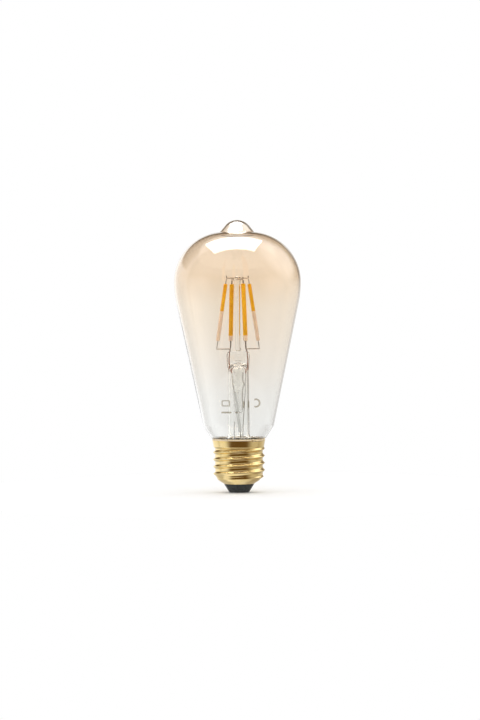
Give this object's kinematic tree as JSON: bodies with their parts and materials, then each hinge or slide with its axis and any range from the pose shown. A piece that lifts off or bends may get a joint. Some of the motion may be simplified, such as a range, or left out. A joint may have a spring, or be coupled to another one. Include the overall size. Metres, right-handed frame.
{
  "type": "smart filament light bulb",
  "caption": "Smart filament light bulb: tapered amber glass with a rounded tip, leaning LED filaments on a glass stem, brass screw cap with a black insulator, driver and radio inside the cap.",
  "frame": {"origin": "centre of the underside of the centre contact, which the bulb stands on", "axes": "+Z along the bulb's axis from the cap to the glass tip; +X to the right and -Y to the front of the view that the filaments are arranged for"},
  "size_m": [0.0642, 0.0642, 0.138],
  "materials": {
    "amber_glass": "clear blown glass, amber coating strongest at the dome, fading to clear",
    "clear_glass": "clear, fire polished",
    "nickel_wire": "drawn nickel-plated wire",
    "tinned_wire": "tinned wire",
    "copper": "copper-coloured drawn wire",
    "glass_fibre_sleeve": "woven glass-fibre sleeve",
    "brass_shell": "rolled and polished",
    "black_insulator": "glossy black",
    "contact_metal": "stamped nickel-plated",
    "cement": "matt",
    "solder": "solidified solder",
    "circuit_board": "lacquered laminate",
    "capacitor_sleeve": "heat-shrunk sleeve",
    "ferrite": "sintered",
    "resistor_body": "dipped coating",
    "chip_moulding": "moulded",
    "chip_ceramic": "sintered",
    "pin_metal": "plated",
    "shield_metal": "stamped",
    "wire_insulation": "extruded",
    "strip_ceramic": "thin sintered strip",
    "led_chip": "translucent crystal",
    "warm_phosphor": "silicone with warm phosphor",
    "pale_phosphor": "silicone with pale phosphor",
    "tab_metal": "stamped strip"
  },
  "bodies": {
    "root": {"antenna_wire": "wire_insulation", "basing_cement": "cement", "branch_wire_left": "nickel_wire", "branch_wire_right": "nickel_wire", "bridge_rectifier": "chip_moulding", "cap_insulator": "black_insulator", "centre_contact": "contact_metal", "channel_switches": "chip_moulding", "chip_capacitors": "chip_ceramic", "chip_resistors": "chip_moulding", "driver_board": "circuit_board", "driver_chip": "chip_moulding", "dumet_seal_left": "copper", "dumet_seal_right": "copper", "exhaust_tube": "clear_glass", "filament_strip_front": "strip_ceramic", "filament_strip_left": "strip_ceramic", "filament_strip_rear": "strip_ceramic", "filament_strip_right": "strip_ceramic", "filament_tabs_front": "tab_metal", "filament_tabs_left": "tab_metal", "filament_tabs_rear": "tab_metal", "filament_tabs_right": "tab_metal", "filter_capacitor": "capacitor_sleeve", "fusible_resistor": "resistor_body", "glass_envelope": "amber_glass", "glass_post": "clear_glass", "header_pins": "pin_metal", "inductor_core": "ferrite", "inductor_winding": "copper", "lead_sleeve": "glass_fibre_sleeve", "lead_solder_joints": "solder", "lead_wire_left": "nickel_wire", "lead_wire_right": "nickel_wire", "led_chips_front": "led_chip", "led_chips_left": "led_chip", "led_chips_rear": "led_chip", "led_chips_right": "led_chip", "live_wire": "tinned_wire", "neutral_wire": "tinned_wire", "outer_lead_left": "tinned_wire", "outer_lead_right": "tinned_wire", "pale_phosphor_front": "pale_phosphor", "pale_phosphor_left": "pale_phosphor", "pale_phosphor_rear": "pale_phosphor", "pale_phosphor_right": "pale_phosphor", "radio_chip": "chip_moulding", "rim_solder_joint": "solder", "screw_shell": "brass_shell", "shield_can": "shield_metal", "stem_flare": "clear_glass", "stem_press": "clear_glass", "timing_crystal": "shield_metal", "top_wire_front_rear": "nickel_wire", "top_wire_left_right": "nickel_wire", "warm_phosphor_front": "warm_phosphor", "warm_phosphor_left": "warm_phosphor", "warm_phosphor_rear": "warm_phosphor", "warm_phosphor_right": "warm_phosphor", "wireless_board": "circuit_board"}
  },
  "joints": []
}
